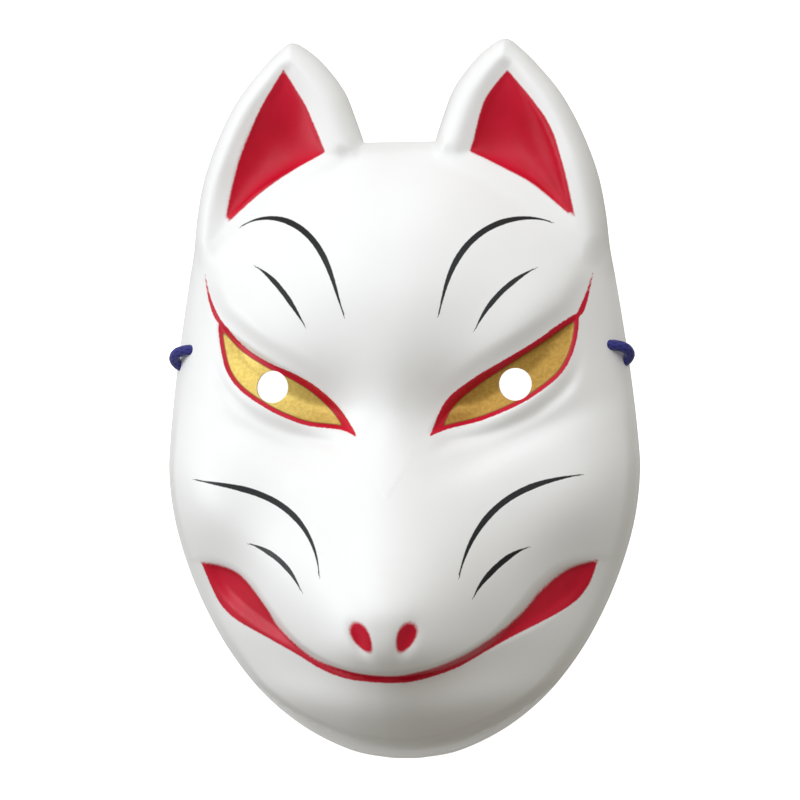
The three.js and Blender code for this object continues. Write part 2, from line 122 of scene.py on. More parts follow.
# Steps and creases, each with where it starts and how wide it is.
LIP_START, LIP_WIDTH, LIP_KEPT = 0.95, 3.8, 0.75
BROW_START, BROW_WIDTH = 0.5, 8
EYE_DEEP, EYE_START, EYE_EDGE, EYE_LID, EYE_REACH = 3, 0.3, 2, 1, 9
EYE_RIM_DEEP, EYE_RIM_START, EYE_RIM_EDGE = 0.8, 0.2, 1.4
CREASE_DEEP, CREASE_AWAY, CREASE_WIDTH = 1.3, 4.6, 2.2
CREASE_OUTER, CREASE_OUTER_FADE, CREASE_INNER, CREASE_INNER_FADE = 63, 8, 10, 10
LID_ROLL_FADE = 4
MOUTH_DEEP, MOUTH_START, MOUTH_EDGE, MOUTH_SLOPE = 2.4, 0.6, 2.2, 5
CHIN_START, CHIN_WIDTH = 2, 4
# The lip that runs round the chin: the height where it starts, how fast it grows, and its width.
CHIN_LIP_FROM, CHIN_LIP_OVER, CHIN_LIP_WIDTH, CHIN_REACH = -93, 22, 3.3, 118
# The ear: its rim, the slope from the rim to the hollow, and the hollow itself.
EAR_RISE, EAR_SWELL, EAR_TOP, EAR_TALL = 10, 4, 118, 40
EAR_EDGE_WIDTH, EAR_SHARE, EAR_ROUND, EAR_FOOT_FADE, EAR_INSIDE_FADE = 7.5, 2.3, 0.62, 20, 6
SLOPE_DEEP, SLOPE_START, SLOPE_WIDTH, SLOPE_EDGE, SLOPE_FROM, SLOPE_OVER = 2.6, 5.5, 7.5, 6, 50, 30
BOWL_DEEP, BOWL_REACH, BOWL_POWERS = 4.5, 10.5, (1, 0.5, 1)
EAR_BLEND, EAR_BLEND_OVER = 12, 3
# How softly the carving meets the top of the rim.
CORNER = 0.5
# The height that stands for no face and no ear.
NOTHING = -1


def smooth(t):
    t = np.clip(t, 0, 1)
    return t * t * (3 - 2 * t)


def curve(points, steps=6):
    """A smooth line through the points."""
    pts = np.array(points, float)
    padded = np.vstack([pts[0], pts, pts[-1]])
    t = (np.arange(steps) / steps)[:, None]
    parts = []
    for a, b, c, d in zip(padded, padded[1:], padded[2:], padded[3:]):
        v0, v1 = (c - a) / 2, (d - b) / 2
        cubic, square = 2 * b - 2 * c + v0 + v1, 3 * c - 3 * b - 2 * v0 - v1
        parts.append(cubic * t ** 3 + square * t ** 2 + v0 * t + b)
    return np.vstack(parts + [pts[-1:]])


def nearest(x, y, line, closed=False):
    """Distance to a line, the side that the point lies on, and how far along the line, from 0 to 1."""
    best = np.full(x.shape, 1e9)
    side = np.zeros(x.shape)
    along = np.zeros(x.shape)
    ends = np.roll(line, -1, axis=0)
    count = len(line) if closed else len(line) - 1
    for i in range(count):
        a, d = line[i], ends[i] - line[i]
        t = np.clip(((x - a[0]) * d[0] + (y - a[1]) * d[1]) / max(d @ d, 1e-12), 0, 1)
        far = (x - a[0] - t * d[0]) ** 2 + (y - a[1] - t * d[1]) ** 2
        near = far < best
        best[near] = far[near]
        side[near] = np.sign(d[0] * (y - a[1]) - d[1] * (x - a[0]))[near]
        along[near] = ((i + t) / count)[near]
    return np.sqrt(best), side, along


def is_inside(x, y, ring):
    """Whether points lie inside a closed ring."""
    odd = np.zeros(x.shape, bool)
    for a, b in zip(ring, np.roll(ring, -1, axis=0)):
        if a[1] != b[1]:
            cut = (b[0] - a[0]) * (y - a[1]) / (b[1] - a[1]) + a[0]
            odd ^= ((a[1] > y) != (b[1] > y)) & (x < cut)
    return odd


def depth_in(x, y, ring):
    """Distance to a ring, counted positive inside it."""
    far = nearest(x, y, ring, True)[0]
    return np.where(is_inside(x, y, ring), far, -far)


def both_sides(half):
    """A whole ring from its right half, which runs from the chin to the top."""
    return np.vstack([half, (half * [-1, 1])[-2:0:-1]])


OUTLINE = both_sides(np.vstack([curve(SIDE_LINE + EAR_EDGE), curve(FOREHEAD_TOP)]))
DOME_RING = both_sides(curve(SIDE_LINE + DOME_TOP + FOREHEAD_TOP, 8))
EAR_EDGE_LINE = curve(SIDE_LINE[-3:] + EAR_EDGE)
EAR_INSIDE_LINE = curve(EAR_INSIDE)
EAR_FOOT_LINE = curve(EAR_FOOT)
EAR_RING = curve(EAR_EDGE + EAR_CORNER + EAR_FOOT + EAR_EDGE[:1])[:-1]
POCKET_SIDES = [curve(side) for side in (POCKET_INNER, POCKET_FOOT, POCKET_OUTER)]
POCKET_RING = np.vstack([side[:-1] for side in POCKET_SIDES])
LID_LINE = curve(LID_TAIL + UPPER_LID)
LOWER_LID_LINE = curve(LOWER_LID)
EYE_RING = np.vstack([curve(UPPER_LID), LOWER_LID_LINE[-2:0:-1]])
MOUTH_TOP_LINE = curve(MOUTH_TOP)
MOUTH_FOOT_LINE = curve(MOUTH_FOOT)
MOUTH_RING = np.vstack([MOUTH_TOP_LINE, MOUTH_FOOT_LINE[::-1]])[:-1]


def mound(x, y, form):
    """A soft rise, or a hollow where the rise is negative."""
    cx, cy, rx, ry, turn, rise = form
    c, s = math.cos(math.radians(turn)), math.sin(math.radians(turn))
    u = ((x - cx) * c + (y - cy) * s) / rx
    v = (-(x - cx) * s + (y - cy) * c) / ry
    return rise * np.exp(-u * u - v * v)


def pair(x, y, form):
    """A mound at each side."""
    return mound(x, y, form) + mound(-x, y, form)


def middle(x, y, form):
    """A mound on the middle line."""
    cy, rx, above, below, rise = form
    v = (y - cy) / np.where(y > cy, above, below)
    return rise * np.exp(-(x / rx) ** 2 - v * v)


def dome_share(x, y):
    """How far from the middle a point is, as a share of the way to the dome's edge."""
    angles = np.arctan2(DOME_RING[:, 1], DOME_RING[:, 0])
    order = np.argsort(angles)
    reach = np.hypot(DOME_RING[:, 0], DOME_RING[:, 1])[order]
    return np.hypot(x, y) / np.interp(np.arctan2(y, x), angles[order], reach, period=2 * math.pi)


def chin_lip(y):
    """How much nearer to the middle the dome ends, where the lip runs round the chin."""
    return 1 + smooth((CHIN_LIP_FROM - y) / CHIN_LIP_OVER) * CHIN_LIP_WIDTH / CHIN_REACH


def face_height(x, y):
    """The face without its ears."""
    ax = np.abs(x)
    share = dome_share(x, y) * chin_lip(y)
    lip_far, lip_side, _ = nearest(ax, y, MOUTH_TOP_LINE)
    above = -lip_side * lip_far
    lip = smooth((above + LIP_START) / LIP_WIDTH)
    lid_far, lid_side, _ = nearest(ax, y, LID_LINE)
    over = -lid_side * lid_far
    eye = depth_in(ax, y, EYE_RING)
    low_lid = nearest(ax, y, LOWER_LID_LINE)[0]
    z = middle(x, y, MUZZLE) * (LIP_KEPT + (1 - LIP_KEPT) * lip)
    z += middle(x, y, NOSE) * lip + middle(x, y, BRIDGE)
    z += mound(x, y, FOREHEAD) + mound(x, y, NOSE_ROOT)
    z += pair(x, y, CHEEK) + pair(x, y, CHEEK_HOLLOW) + pair(x, y, SOCKET) + pair(x, y, JAW)
    z += pair(x, y, LIP_SIDE) * lip + pair(x, y, BROW) * smooth((over + BROW_START) / BROW_WIDTH)
    z -= EYE_DEEP * smooth((eye + EYE_START) / EYE_EDGE) * smooth((low_lid + EYE_LID) / EYE_REACH)
    z -= EYE_RIM_DEEP * smooth((eye + EYE_RIM_START) / EYE_RIM_EDGE)
    below_eye = (over < 0) & (eye < 0)
    ends = smooth((CREASE_OUTER - ax) / CREASE_OUTER_FADE) * smooth((ax - CREASE_INNER) / CREASE_INNER_FADE)
    z -= CREASE_DEEP * ends * np.exp(-((low_lid - CREASE_AWAY) / CREASE_WIDTH) ** 2) * below_eye
    z += pair(x, y, LID_ROLL) * smooth(low_lid / LID_ROLL_FADE) * below_eye
    mouth = smooth((depth_in(ax, y, MOUTH_RING) + MOUTH_START) / MOUTH_EDGE)
    z -= MOUTH_DEEP * mouth * smooth(nearest(ax, y, MOUTH_FOOT_LINE)[0] / MOUTH_SLOPE)
    z += pair(x, y, NOSTRIL) + mound(x, y, CHIN) * (1 - smooth((above + CHIN_START) / CHIN_WIDTH))
    dome = DOME_RISE * np.clip(1 - share ** DOME_SHARE, 0, 1) ** DOME_ROUND
    return np.where(share < 1, dome + z * smooth((1 - share) / DOME_FOOT), NOTHING)


def ear_height(x, y):
    """The ear: a rounded rim that slopes into a bowl."""
    ax = np.abs(x)
    edge = nearest(ax, y, EAR_EDGE_LINE)[0]
    foot = nearest(ax, y, EAR_FOOT_LINE)[0]
    inside = nearest(ax, y, EAR_INSIDE_LINE)[0]
    pocket = depth_in(ax, y, POCKET_RING)
    rise = EAR_RISE + EAR_SWELL * np.clip((EAR_TOP - y) / EAR_TALL, 0, 1)
    round_off = (1 - np.clip(1 - edge / EAR_EDGE_WIDTH, 0, 1) ** EAR_SHARE) ** EAR_ROUND
    z = rise * smooth(foot / EAR_FOOT_FADE) * smooth(inside / EAR_INSIDE_FADE) * round_off
    slope = smooth((pocket + SLOPE_START) / SLOPE_WIDTH) * smooth(edge / SLOPE_EDGE)
    z -= SLOPE_DEEP * slope * smooth((y - SLOPE_FROM) / SLOPE_OVER)
    bowl = np.where(pocket > 0, BOWL_DEEP, 0)
    for side, power in zip(POCKET_SIDES, BOWL_POWERS):
        bowl = bowl * (nearest(ax, y, side)[0] / BOWL_REACH) ** power
    return np.where(is_inside(ax, y, EAR_RING), z - bowl, NOTHING)


def height(x, y):
    """The height of the outer surface, in pattern millimetres."""
    face, ear = face_height(x, y), ear_height(x, y)
    share = np.clip(0.5 + (face - ear) / EAR_BLEND, 0, 1)
    near = smooth(np.minimum(face, ear) / EAR_BLEND_OVER)
    sharp = np.maximum(face, ear)
    blended = ear * (1 - share) + face * share + EAR_BLEND / 2 * share * (1 - share)
    return sharp + (blended - sharp) * near


def outer(x, y):
    """The outer surface down to the flat rim, with a soft corner where the two meet."""
    rise = height(x, y) - WALL
    return WALL + 0.5 * (rise + np.hypot(rise, CORNER))


# The camera.
def make_camera():
    yaw, roll = math.radians(VIEW_YAW), math.radians(VIEW_ROLL)
    right = Vector((math.cos(yaw), 0, -math.sin(yaw)))
    up = Vector((0, 1, 0))
    back = Vector((math.sin(yaw), 0, math.cos(yaw)))
    turned_right = right * math.cos(roll) - up * math.sin(roll)
    turned_up = up * math.cos(roll) + right * math.sin(roll)
    data = bpy.data.cameras.new("camera")
    data.sensor_width = SENSOR
    data.lens = SENSOR * VIEW_DISTANCE / FRAME_WIDTH
    data.shift_x, data.shift_y = SHIFT
    data.clip_start = 0.05
    camera = bpy.data.objects.new("camera", data)
    bpy.context.scene.collection.objects.link(camera)
    turn = Matrix((turned_right, turned_up, back)).transposed().to_4x4()
    camera.matrix_world = Matrix.Translation(back * VIEW_DISTANCE) @ turn
    bpy.context.scene.camera = camera


# Node helpers.
def new_material(name):
    material = bpy.data.materials.new(name)
    material.use_nodes = True
    return material, material.node_tree, material.node_tree.nodes["Principled BSDF"]


def put(tree, kind, settings=None, **inputs):
    """A new node. Its inputs are named with their own names, a space written as _; values or sockets."""
    node = tree.nodes.new("ShaderNode" + kind)
    for key, value in (settings or {}).items():
        setattr(node, key, value)
    for key, value in inputs.items():
        name = key.replace("_", " ")
        socket = node.inputs[int(key[1:])] if key[0] == "i" and key[1:].isdigit() else node.inputs[name]
        if isinstance(value, bpy.types.NodeSocket):
            tree.links.new(value, socket)
        else:
            socket.default_value = value
    return node


def math_node(tree, operation, a, b=0.0):
    return put(tree, "Math", {"operation": operation}, i0=a, i1=b).outputs[0]


def ramp(tree, value, low, high, to_low=0.0, to_high=1.0):
    node = put(tree, "MapRange", {"interpolation_type": "SMOOTHSTEP"}, Value=value)
    for name, number in (("From Min", low), ("From Max", high), ("To Min", to_low), ("To Max", to_high)):
        node.inputs[name].default_value = number
    return node.outputs[0]


def field(tree, name):
    return put(tree, "Attribute", {"attribute_name": name}).outputs["Fac"]


def mix_colour(tree, share, a, b):
    node = tree.nodes.new("ShaderNodeMix")
    node.data_type = "RGBA"
    tree.links.new(share, node.inputs["Factor"])
    for socket, value in ((node.inputs[6], a), (node.inputs[7], b)):
        if isinstance(value, bpy.types.NodeSocket):
            tree.links.new(value, socket)
        else:
            socket.default_value = (*value, 1)
    return node.outputs[2]


def noise(tree, coordinates, scale, detail):
    return put(tree, "TexNoise", Vector=coordinates, Scale=scale, Detail=detail).outputs["Fac"]


# The cord: its route on the right in millimetres, from the knot out of the hole and in under the rim.
CORD_DIAMETER = 0.0036
CORD_SIDES = 24
# How far a tube's ends bulge, as a share of its radius.
END_BULGE = 0.35
CORD_OUT = [
    (64.4, 17, 9.2), (68.2, 17, 9.2), (71.4, 17, 9.2), (74.7, 16.1, 8.1), (76.1, 14.1, 5.5),
    (74.7, 12, 2.9), (71.4, 11.1, 1.85), (67.6, 10.4, 1.85), (63, 8.6, 1.85), (57, 4, 1.85),
    (52.4, -7, 1.85), (50, -20.5, 1.85), (47, -34.5, 1.85), (40.5, -48.5, 1.85), (29.5, -60.5, 1.85),
    (15.5, -68, 1.85),
]
CORD_ROUTE = CORD_OUT + [(0, -70.4, 1.85)] + [(-x, y, z) for x, y, z in reversed(CORD_OUT)]


def centripetal(points, steps=14):
    """A smooth line in space whose bends stay close to its points."""
    pts = [Vector(p) for p in points]
    pts = [pts[0] * 2 - pts[1], *pts, pts[-1] * 2 - pts[-2]]
    line = []
    for p0, p1, p2, p3 in zip(pts, pts[1:], pts[2:], pts[3:]):
        t0 = 0.0
        t1 = t0 + (p1 - p0).length ** 0.5
        t2 = t1 + (p2 - p1).length ** 0.5
        t3 = t2 + (p3 - p2).length ** 0.5
        for k in range(steps):
            t = t1 + (t2 - t1) * k / steps
            a1 = p0.lerp(p1, (t - t0) / (t1 - t0))
            a2 = p1.lerp(p2, (t - t1) / (t2 - t1))
            a3 = p2.lerp(p3, (t - t2) / (t3 - t2))
            b1 = a1.lerp(a2, (t - t0) / (t2 - t0))
            b2 = a2.lerp(a3, (t - t1) / (t3 - t1))
            line.append(b1.lerp(b2, (t - t1) / (t2 - t1)))
    line.append(pts[-2])
    return line


def tube(name, line, radius, sides, relief):
    """A closed tube with bulging ends. Its uv are the run along the line in metres and the turn round it."""
    count = len(line)
    tangents = [(line[min(i + 1, count - 1)] - line[max(i - 1, 0)]).normalized() for i in range(count)]
    normal = tangents[0].orthogonal().normalized()
    mesh = bmesh.new()
    uv = mesh.loops.layers.uv.new("UVMap")
    run = 0.0
    rings, runs = [], []
    for i, (point, tangent) in enumerate(zip(line, tangents)):
        normal = (normal - tangent * normal.dot(tangent)).normalized()
        other = tangent.cross(normal)
        if i:
            run += (point - line[i - 1]).length
        ring = []
        for k in range(sides):
            a = 2 * math.pi * k / sides
            r = radius * relief(a, run)
            ring.append(mesh.verts.new(point + normal * math.cos(a) * r + other * math.sin(a) * r))
        rings.append(ring)
        runs.append(run)
    for i in range(count - 1):
        for k in range(sides):
            j = (k + 1) % sides
            face = mesh.faces.new((rings[i][k], rings[i][j], rings[i + 1][j], rings[i + 1][k]))
            face.smooth = True
            corners = ((runs[i], k), (runs[i], k + 1), (runs[i + 1], k + 1), (runs[i + 1], k))
            for loop, (u, v) in zip(face.loops, corners):
                loop[uv].uv = (u, v / sides)
    for ring, tangent, point in ((rings[0], -tangents[0], line[0]), (rings[-1], tangents[-1], line[-1])):
        tip = mesh.verts.new(point + tangent * radius * END_BULGE)
        for k in range(sides):
            mesh.faces.new((tip, ring[k], ring[(k + 1) % sides])).smooth = True
    bmesh.ops.recalc_face_normals(mesh, faces=mesh.faces)
    data = bpy.data.meshes.new(name)
    mesh.to_mesh(data)
    mesh.free()
    piece = bpy.data.objects.new(name, data)
    bpy.context.scene.collection.objects.link(piece)
    return piece


# The braid: the length of one turn of a strand in millimetres, and the strands of each direction.
BRAID_PITCH = 3.4
BRAID_STRANDS = 8
# How deep the braid's dips are, as a share of the cord's radius.
BRAID_DEEP = 0.02
# The cord's colours: painted darker in the dips between the strands, as painted shade, and lighter on the
# strands' tops.
CORD_DIP_SHADE_AND_TOP = ((0.01, 0.01, 0.095), (0.028, 0.028, 0.25))
FUZZ_SCALE, FUZZ_SHADE, FUZZ_HEIGHT = 2400, 0.75, 0.35
CORD_ROUGHNESS, CORD_SHEEN, CORD_SHEEN_ROUGHNESS = 0.78, 0.35, 0.4
BRAID_BUMP = 0.0002


def braid_relief(angle, run):
    """Two families of strands that wind round the cord and pass over and under each other."""
    turn = run / (BRAID_PITCH * MM) * 2 * math.pi
    right_hand = math.cos(BRAID_STRANDS * angle + turn)
    left_hand = math.cos(BRAID_STRANDS * angle - turn)
    return 1 - BRAID_DEEP * (1 - max(right_hand, left_hand))


def cord_material():
    material, tree, shader = new_material("braided_cord")
    uv = put(tree, "UVMap", {"uv_map": "UVMap"}).outputs[0]
    split = put(tree, "SeparateXYZ", Vector=uv)
    turn = math_node(tree, "MULTIPLY", split.outputs[0], 2 * math.pi / (BRAID_PITCH * MM))
    around = math_node(tree, "MULTIPLY", split.outputs[1], 2 * math.pi * BRAID_STRANDS)
    one = math_node(tree, "COSINE", math_node(tree, "ADD", around, turn))
    other = math_node(tree, "COSINE", math_node(tree, "SUBTRACT", around, turn))
    strands = ramp(tree, math_node(tree, "MAXIMUM", one, other), -0.2, 0.9)
    place = put(tree, "TexCoord").outputs["Object"]
    fuzz = noise(tree, place, FUZZ_SCALE, 3)
    # The colour is painted darker where the strands dip, as painted shade, and varies at random with the
    # fuzz.
    shade = math_node(tree, "MULTIPLY", strands, ramp(tree, fuzz, 0.2, 0.8, FUZZ_SHADE, 1.0))
    colour = mix_colour(tree, shade, *CORD_DIP_SHADE_AND_TOP)
    tree.links.new(colour, shader.inputs["Base Color"])
    shader.inputs["Roughness"].default_value = CORD_ROUGHNESS
    shader.inputs["Sheen Weight"].default_value = CORD_SHEEN
    shader.inputs["Sheen Roughness"].default_value = CORD_SHEEN_ROUGHNESS
    height_out = math_node(tree, "ADD", strands, math_node(tree, "MULTIPLY", fuzz, FUZZ_HEIGHT))
    bump = put(tree, "Bump", Strength=0.35, Distance=BRAID_BUMP, Height=height_out)
    tree.links.new(bump.outputs[0], shader.inputs["Normal"])
    return material


def make_cord(material):
    line = centripetal([Vector(p) * MM for p in CORD_ROUTE])
    length = sum((b - a).length for a, b in zip(line, line[1:]))
    piece = tube("braided_cord", line, CORD_DIAMETER / 2, CORD_SIDES, braid_relief)
    piece.data.materials.append(material)
    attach(piece, "root")
    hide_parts("elastic_cord")
    return piece, line, length


# The knot: its lobes, the points along it, the strand's radius as a share of the cord's diameter, and
# the shares of its box that the strand's middle reaches along the cord and across it.
KNOT_LOBES = 3
KNOT_STEPS = 150
KNOT_RADIUS = 0.42
KNOT_SIDES = 18
KNOT_ALONG, KNOT_ACROSS = 0.42, 0.95


def knot_line(side, box_low, box_high):
    """A tight overhand knot that fills the knot's box: three crossing lobes, drawn along the cord."""
    centre = (box_low + box_high) / 2
    half = (box_high - box_low) / 2
    line = []
    for i in range(KNOT_STEPS + 1):
        t = 2 * math.pi * i / KNOT_STEPS
        wide = (math.sin(t) + 2 * math.sin(2 * t)) / 4
        tall = (math.cos(t) - 2 * math.cos(2 * t)) / 4
        deep = -math.sin(KNOT_LOBES * t)
        line.append(centre + Vector((
            side * deep * half.x * KNOT_ALONG,
            wide * half.y * KNOT_ACROSS,
            tall * half.z * KNOT_ACROSS,
        )))
    return line


def make_knots(material):
    knots = []
    for node, name, side in (("cord_knot_left", "knot_left", -1), ("cord_knot_right", "knot_right", 1)):
        line = knot_line(side, *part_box(node))
        piece = tube(name, line, CORD_DIAMETER * KNOT_RADIUS, KNOT_SIDES, braid_relief)
        piece.data.materials.append(material)
        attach(piece, "root")
        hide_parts(node)
        knots.append(piece)
    return knots


# The shell's mesh: the distances between its points, in pattern millimetres.
FRONT_STEP = 0.78
BACK_STEP = 1.45
RIM_STEP = 0.8
CARVED_STEP = 0.7
LIP_STEP = 0.6
FOOT_STEP = 1.1
EYE_HOLE_POINTS = 64
# Rows of points inside the rim, inside the back's foot and, as shares of the dome, along the chin's lip.
RIM_INSETS = (0.3, 0.7, 1.2, 1.8, 2.5, 3.2)
FOOT_INSETS = (0.5, 1.1, 1.9, 2.9, 4.0)
LIP_SHARES = (1.002, 0.992, 0.98, 0.966)
# How near to each other the points of two lines may come: in millimetres, or as a share of the step.
LIP_ROOM, ROW_ROOM, HOLE_ROOM, FRONT_MARGIN, BACK_MARGIN = 0.5, 0.35, 0.5, 0.6, 4.8
CARVED_SHARE, LOOSE_SHARE, INSET_SHARE, HOLE_SHARE = 0.6, 0.55, 0.9, 0.995
WELD = 1e-6
# Triangles smaller than this, twice their area, lie along a straight piece of the rim and are left out.
SLIVER = 0.002
# The grid on which the inner surface is worked out, and the height that stands for nothing there.
GRID_STEP = 0.5
UNDER = -6.0
# How far inwards the inner surface's foot is looked for, in which steps, and over how many it is evened.
FOOT_REACH, FOOT_WALK, FOOT_WINDOW = 9, 0.1, 9
# The top of the rim's own band, and the least height of the inner surface off the floor.
RIM_TOP = WALL * 0.8
LEAST = 0.05
# A point counts as on a ring when it is this near.
ON_RING = 1e-4


def evenly(ring, step):
    """Points at even steps along a closed ring."""
    closed = np.vstack([ring, ring[:1]])
    run = np.concatenate([[0], np.cumsum(np.hypot(*np.diff(closed, axis=0).T))])
    at = np.linspace(0, run[-1], max(8, round(run[-1] / step)) + 1)[:-1]
    return np.stack([np.interp(at, run, closed[:, k]) for k in (0, 1)], -1)


def inset(ring, distance):
    """A ring's points moved inwards, without those that come too near to it."""
    before, after = np.roll(ring, 1, axis=0), np.roll(ring, -1, axis=0)
    along = after - before
    area = np.sum(ring[:, 0] * after[:, 1] - after[:, 0] * ring[:, 1])
    normal = np.stack([-along[:, 1], along[:, 0]], -1) * np.sign(area)
    moved = ring + distance * normal / np.linalg.norm(normal, axis=1)[:, None]
    return moved[depth_in(moved[:, 0], moved[:, 1], ring) > distance * INSET_SHARE]


def lattice(step, ring, margin):
    """A filling of points in even triangles, away from the ring."""
    low, high = ring.min(0), ring.max(0)
    rows = np.arange(low[1], high[1], step * math.sqrt(3) / 2)
    points = [
        (x, y)
        for i, y in enumerate(rows)
        for x in np.arange(low[0] + (i % 2) * step / 2, high[0], step)
    ]
    points = np.array(points)
    return points[depth_in(points[:, 0], points[:, 1], ring) > margin]


def eye_rings():
    """The edges of the two eye holes."""
    turn = np.arange(EYE_HOLE_POINTS) * 2 * math.pi / EYE_HOLE_POINTS
    circle = np.stack([np.cos(turn), np.sin(turn)], -1) * EYE_HOLE_RADIUS
    return [circle + [side * EYE_HOLE[0], EYE_HOLE[1]] for side in (-1, 1)]


def dome_row(share):
    """A row of points round the dome, at a share of the way to its foot."""
    ring = evenly(DOME_RING, LIP_STEP)
    return ring * (share / chin_lip(ring[:, 1:]))


def drop_near(points, lines, room):
    """The points that keep clear of the lines' own points."""
    keep = np.ones(len(points), bool)
    for line in lines:
        for p in line:
            near = np.abs(points - p).max(1) < room
            keep[near] &= np.hypot(*(points[near] - p).T) > room * 0.999
    return points[keep]


def sheet(fixed_rings, loose, ring, step):
    """Triangles over a ring: its own edge, other closed lines that the edges follow, then a filling."""
    edges, start = [], 0
    for line in fixed_rings:
        n = len(line)
        edges += [(start + i, start + (i + 1) % n) for i in range(n)]
        start += n
    points = np.vstack([*fixed_rings, drop_near(loose, fixed_rings, step * LOOSE_SHARE)])
    verts, _, faces, *_ = delaunay_2d_cdt([Vector(p) for p in points], edges, [], 0, WELD)
    verts = np.array([tuple(v) for v in verts])
    faces = np.array([tuple(f) for f in faces])
    middles = verts[faces].mean(1)
    sides = verts[faces[:, 1:]] - verts[faces[:, :1]]
    keep = is_inside(middles[:, 0], middles[:, 1], ring) & (np.abs(np.linalg.det(sides)) > SLIVER)
    for hole in eye_rings():
        centre = hole.mean(0)
        keep &= np.hypot(*(middles - centre).T) > EYE_HOLE_RADIUS * HOLE_SHARE
    return verts, faces[keep]


def inner_grid():
    """The outer surface moved inwards by the wall, as a ball of that radius rolls under it, on a grid."""
    reach = int(math.ceil(WALL / GRID_STEP))
    margin = WALL + 2 * GRID_STEP
    xs = np.arange(-PATTERN[0] / 2 - margin, PATTERN[0] / 2 + margin, GRID_STEP)
    ys = np.arange(-PATTERN[1] / 2 - margin, PATTERN[1] / 2 + margin, GRID_STEP)
    x, y = np.meshgrid(xs, ys)
    top = np.where(is_inside(x, y, OUTLINE), outer(x, y), UNDER)
    inner = np.full(top.shape, 1e9)
    for i in range(-reach, reach + 1):
        for j in range(-reach, reach + 1):
            far = math.hypot(i, j) * GRID_STEP
            if far <= WALL:
                moved = np.roll(top, (i, j), (0, 1)) - math.sqrt(WALL ** 2 - far ** 2)
                inner = np.minimum(inner, moved)
    return xs, ys, inner


def sample(grid, x, y):
    """Heights between the points of a grid."""
    xs, ys, values = grid
    u = np.clip((x - xs[0]) / GRID_STEP, 0, len(xs) - 1.001)
    v = np.clip((y - ys[0]) / GRID_STEP, 0, len(ys) - 1.001)
    i, j = u.astype(int), v.astype(int)
    a, b = u - i, v - j
    low = values[j, i] * (1 - a) + values[j, i + 1] * a
    high = values[j + 1, i] * (1 - a) + values[j + 1, i + 1] * a
    return low * (1 - b) + high * b


def inner_ring(grid, ring):
    """Where the inner surface meets the floor: each point of the outline walked inwards."""
    before, after = np.roll(ring, 1, axis=0), np.roll(ring, -1, axis=0)
    along = after - before
    normal = np.stack([-along[:, 1], along[:, 0]], -1)
    area = np.sum(ring[:, 0] * after[:, 1] - after[:, 0] * ring[:, 1])
    normal *= np.sign(area) / np.linalg.norm(normal, axis=1)[:, None]
    walk = np.arange(WALL, FOOT_REACH, FOOT_WALK)
    x = ring[:, :1] + normal[:, :1] * walk
    y = ring[:, 1:] + normal[:, 1:] * walk
    under = sample(grid, x, y) > 0
    distance = walk[np.argmax(under, axis=1)]
    window = np.ones(FOOT_WINDOW) / FOOT_WINDOW
    side = FOOT_WINDOW // 2
    distance = np.convolve(np.concatenate([distance[-side:], distance, distance[:side]]), window, "valid")
    return ring + normal * distance[:, None]


def front_layer(rim, holes):
    """The outer surface: its points, their heights and its triangles."""
    carved = [evenly(line, CARVED_STEP) for line in (EYE_RING, MOUTH_RING, POCKET_RING)]
    carved = [line * [side, 1] for line in carved for side in (-1, 1)]
    lip_rows = np.vstack([dome_row(share) for share in LIP_SHARES])
    lip_rows = lip_rows[lip_rows[:, 1] < CHIN_LIP_FROM]
    lip_rows = lip_rows[depth_in(lip_rows[:, 0], lip_rows[:, 1], rim) > LIP_ROOM]
    rim_rows = np.vstack([inset(rim, distance) for distance in RIM_INSETS])
    filling = lattice(FRONT_STEP, OUTLINE, RIM_INSETS[-1] + FRONT_MARGIN)
    loose = [lip_rows, drop_near(rim_rows, [lip_rows], ROW_ROOM)]
    loose += [drop_near(line, holes, HOLE_ROOM) for line in carved]
    loose.append(drop_near(filling, [*carved, lip_rows], FRONT_STEP * CARVED_SHARE))
    flat, faces = sheet([rim, *holes], np.vstack(loose), rim, FRONT_STEP)
    z = outer(flat[:, 0], flat[:, 1])
    z[nearest(flat[:, 0], flat[:, 1], rim, True)[0] < ON_RING] = RIM_TOP
    return flat, z, faces


def back_layer(foot, holes, grid):
    """The inner surface, which stands on the floor along its foot."""
    rows = np.vstack([inset(foot, distance) for distance in FOOT_INSETS])
    loose = np.vstack([rows, lattice(BACK_STEP, foot, BACK_MARGIN)])
    flat, faces = sheet([foot, *holes], loose, foot, BACK_STEP)
    z = np.maximum(sample(grid, flat[:, 0], flat[:, 1]), LEAST)
    z[nearest(flat[:, 0], flat[:, 1], foot, True)[0] < ON_RING] = 0
    return flat, z, faces[:, ::-1]


def ground_layer(rim, foot):
    """The flat underside of the rim."""
    flat, faces = sheet([rim, foot], np.empty((0, 2)), rim, 1)
    middles = flat[faces].mean(1)
    faces = faces[~is_inside(middles[:, 0], middles[:, 1], foot)]
    return flat, np.zeros(len(flat)), faces[:, ::-1]


